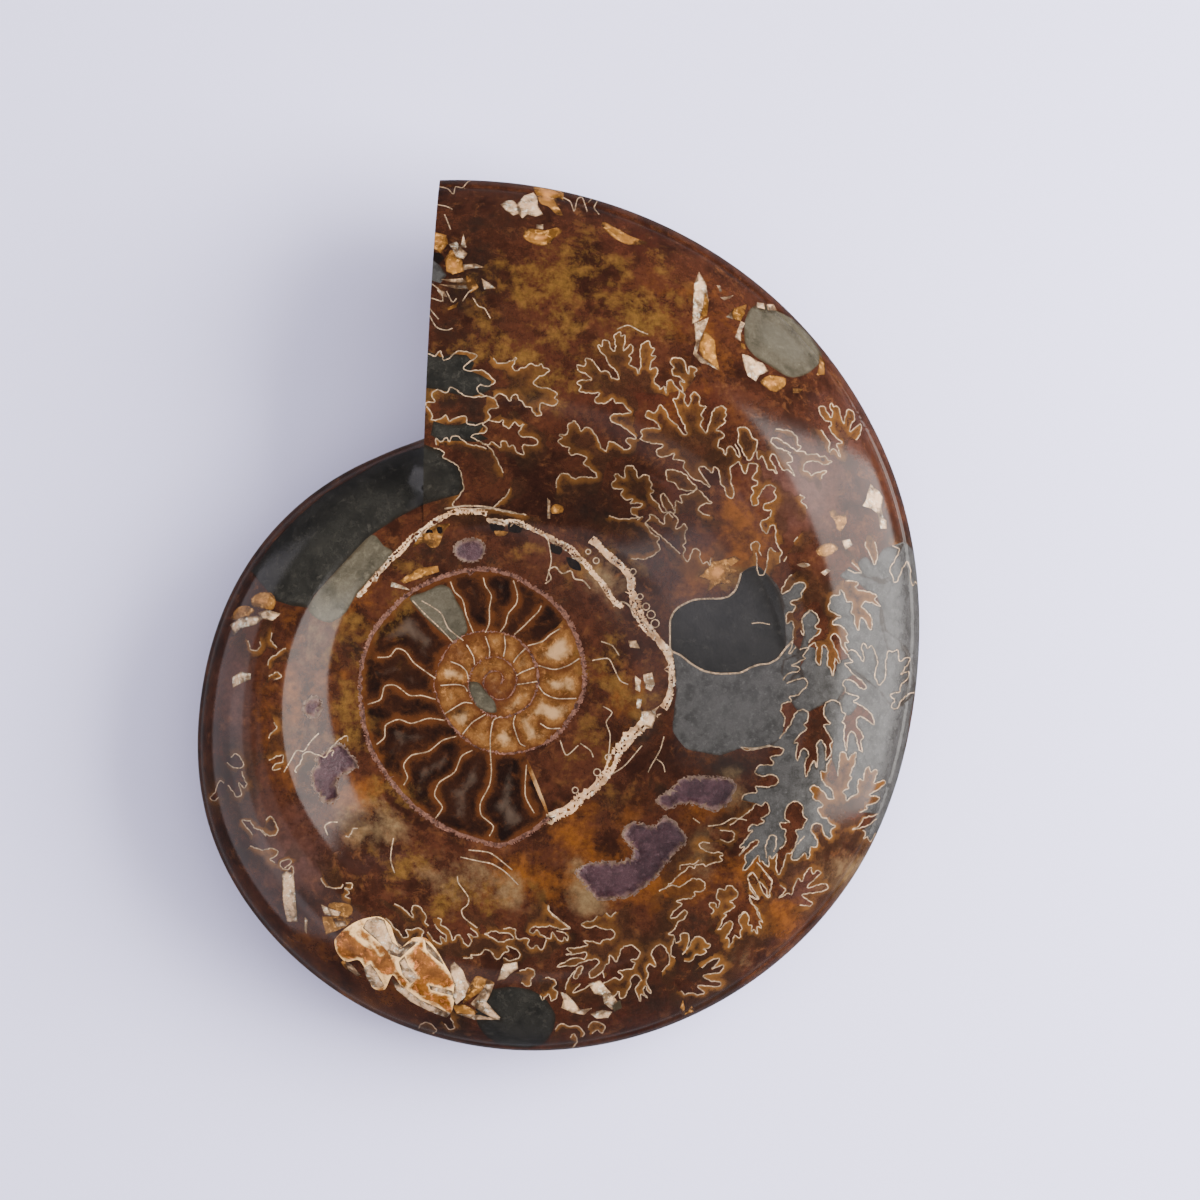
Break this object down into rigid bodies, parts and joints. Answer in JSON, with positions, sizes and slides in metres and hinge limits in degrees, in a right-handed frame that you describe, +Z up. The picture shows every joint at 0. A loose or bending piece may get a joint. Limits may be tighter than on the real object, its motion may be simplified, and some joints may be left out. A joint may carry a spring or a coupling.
{
  "type": "fossil ammonite",
  "caption": "Polished fossil ammonite lying on one flank: a flat coil with a dished centre, a rounded keel edge and a flat saw cut across its mouth.",
  "frame": {"origin": "centre of the bounding box's bottom, on the surface that the fossil rests on", "axes": "+Z up from that surface, +Y towards the tip of the sawn mouth, +X towards the newest part of the coil"},
  "size_m": [0.1486, 0.179, 0.0471],
  "materials": {
    "polished_stone": "polished"
  },
  "bodies": {
    "root": {"ammonite": "polished_stone"}
  },
  "joints": []
}
